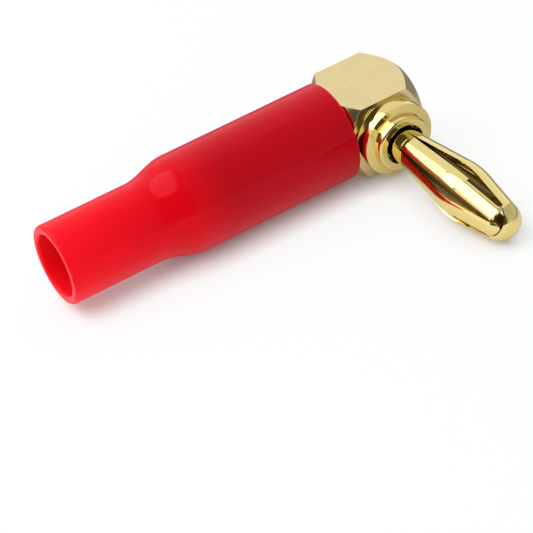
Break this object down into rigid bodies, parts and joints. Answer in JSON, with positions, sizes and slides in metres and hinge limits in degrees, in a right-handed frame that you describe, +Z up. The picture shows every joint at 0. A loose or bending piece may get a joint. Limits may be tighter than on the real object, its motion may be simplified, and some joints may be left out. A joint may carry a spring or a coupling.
{
  "type": "right-angle banana plug",
  "caption": "Right-angle banana plug: gold-plated square head with stepped collar and lantern spring pin, wire barrel with clamp screws and a soft red slide-on sleeve.",
  "frame": {"origin": "on the surface that the plug lies on, under the middle of its outline", "axes": "+X along the sleeve, from its mouth to the head; the contact pin points along -Y and dips to the surface; +Z up"},
  "size_m": [0.039, 0.0284, 0.0099],
  "materials": {
    "gold_head": "satin gold plating",
    "gold_collar": "turned gold plating",
    "gold_spring": "polished gold plating",
    "red_sleeve": "glossy soft vinyl, slightly translucent",
    "screw_metal": "gold plating"
  },
  "bodies": {
    "plug": {"elbow_body": "gold_head", "pin_collar": "gold_collar", "contact_spring": "gold_spring"},
    "sleeve": {"insulating_sleeve": "red_sleeve"},
    "screw_1": {"clamp_screw_1": "screw_metal"},
    "screw_2": {"clamp_screw_2": "screw_metal"}
  },
  "joints": [
    {"name": "sleeve_slide", "type": "slide", "parent": "plug", "child": "sleeve", "axis": [-1, 0, 0], "range_m": [0, 0.015]},
    {"name": "screw_1_travel", "type": "slide", "parent": "plug", "child": "screw_1", "axis": [0, -0.9914, -0.1312], "range_m": [0, 0.0008]},
    {"name": "screw_2_travel", "type": "slide", "parent": "plug", "child": "screw_2", "axis": [0, -0.9914, -0.1312], "range_m": [0, 0.0008]}
  ]
}
